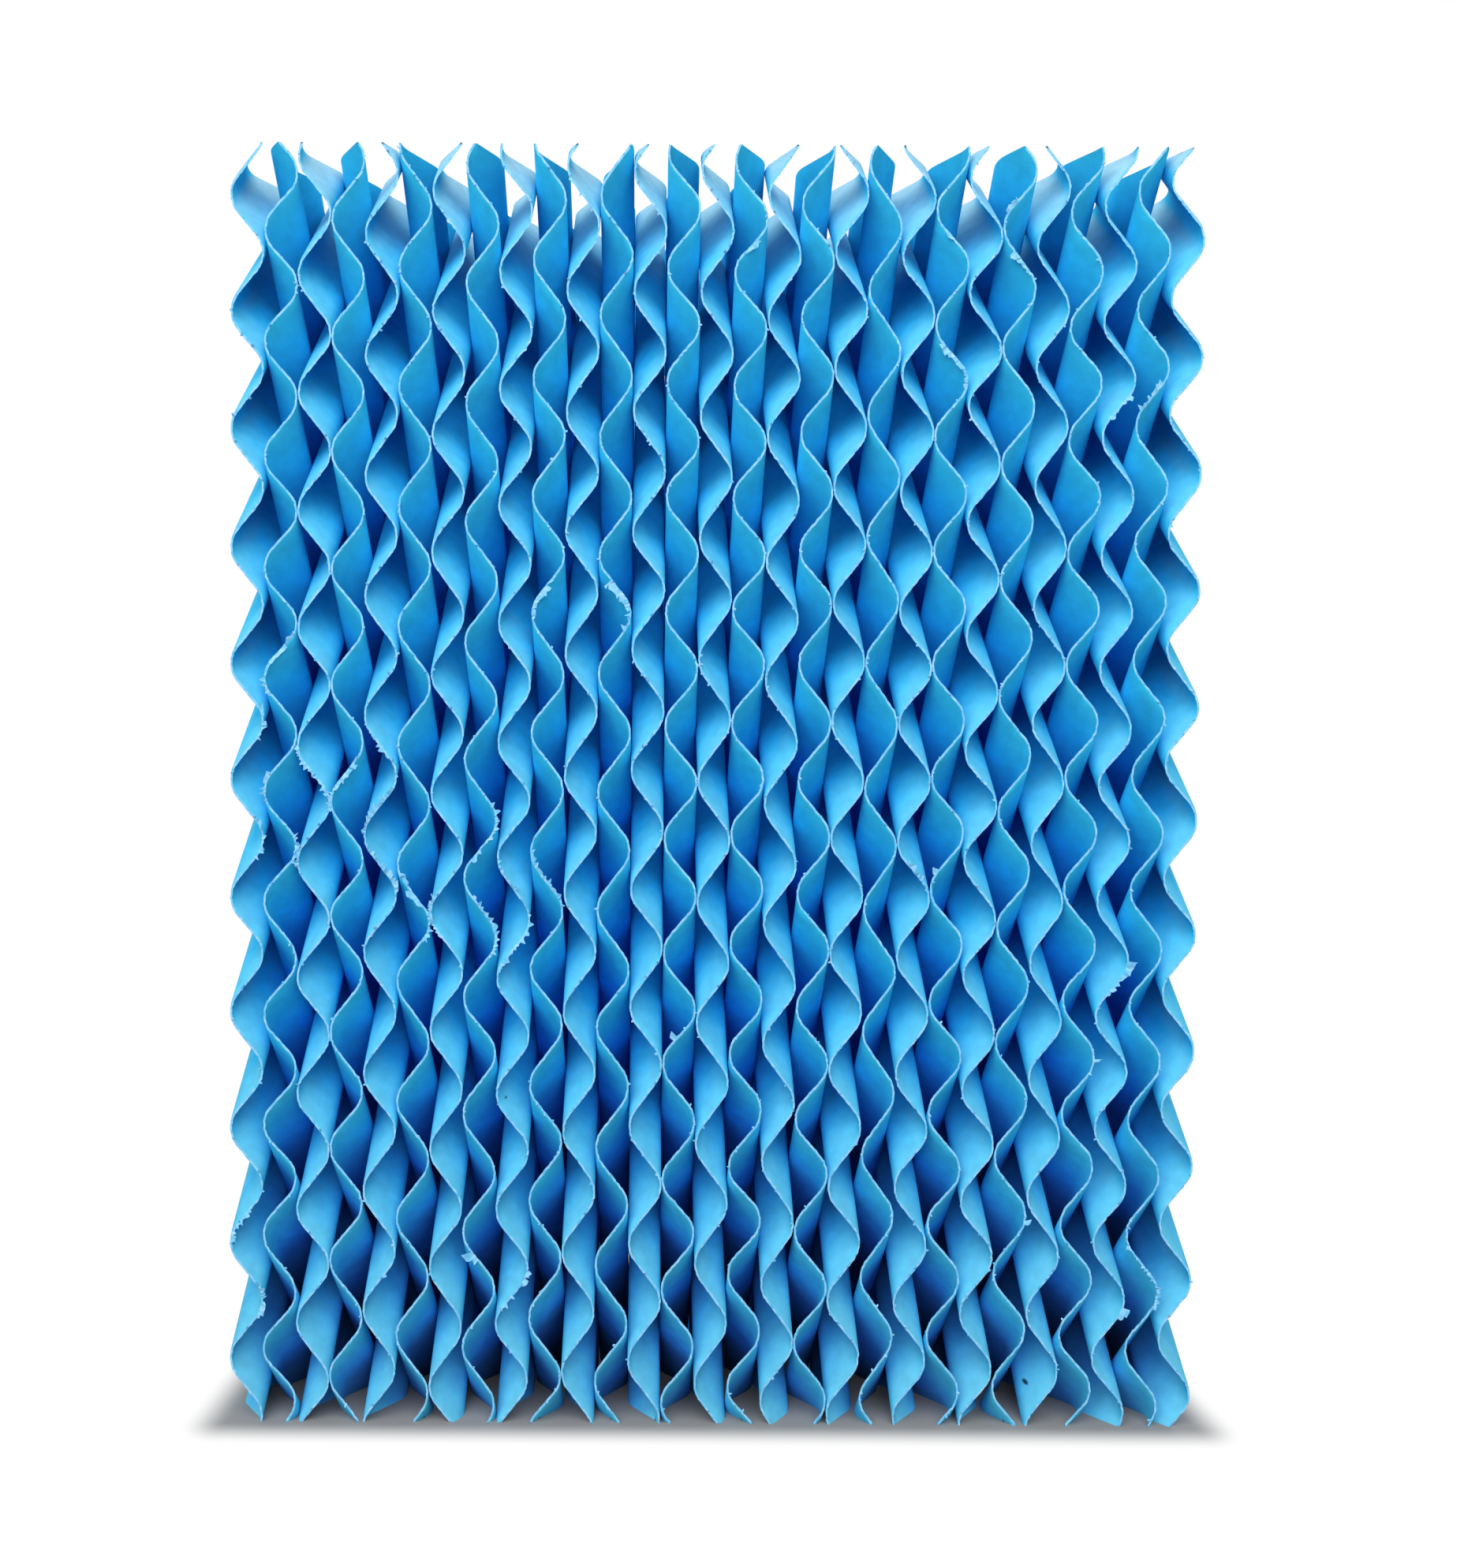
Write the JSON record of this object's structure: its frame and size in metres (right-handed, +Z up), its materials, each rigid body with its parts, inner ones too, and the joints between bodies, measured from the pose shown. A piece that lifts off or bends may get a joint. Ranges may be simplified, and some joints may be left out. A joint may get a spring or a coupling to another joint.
{
  "type": "evaporative cooling pad",
  "caption": "Block of blue corrugated paper sheets, glued with their slanting flutes crossing; water trickles down through it while the air drawn through is cooled.",
  "frame": {"origin": "middle of the pad's bottom edge, on the floor it stands on", "axes": "+Z up along the sheets, +Y from the front face to the back face, +X across the stacked sheets to the right"},
  "size_m": [0.2044, 0.05, 0.27],
  "materials": {
    "blue_paper": "matte dyed paper, stiffened with resin"
  },
  "bodies": {
    "root": {"sheet_01": "blue_paper", "sheet_02": "blue_paper", "sheet_03": "blue_paper", "sheet_04": "blue_paper", "sheet_05": "blue_paper", "sheet_06": "blue_paper", "sheet_07": "blue_paper", "sheet_08": "blue_paper", "sheet_09": "blue_paper", "sheet_10": "blue_paper", "sheet_11": "blue_paper", "sheet_12": "blue_paper", "sheet_13": "blue_paper", "sheet_14": "blue_paper", "sheet_15": "blue_paper", "sheet_16": "blue_paper", "sheet_17": "blue_paper", "sheet_18": "blue_paper", "sheet_19": "blue_paper", "sheet_20": "blue_paper", "sheet_21": "blue_paper", "sheet_22": "blue_paper", "sheet_23": "blue_paper", "sheet_24": "blue_paper", "sheet_25": "blue_paper", "sheet_26": "blue_paper", "sheet_27": "blue_paper", "sheet_28": "blue_paper", "sheet_29": "blue_paper"}
  },
  "joints": []
}
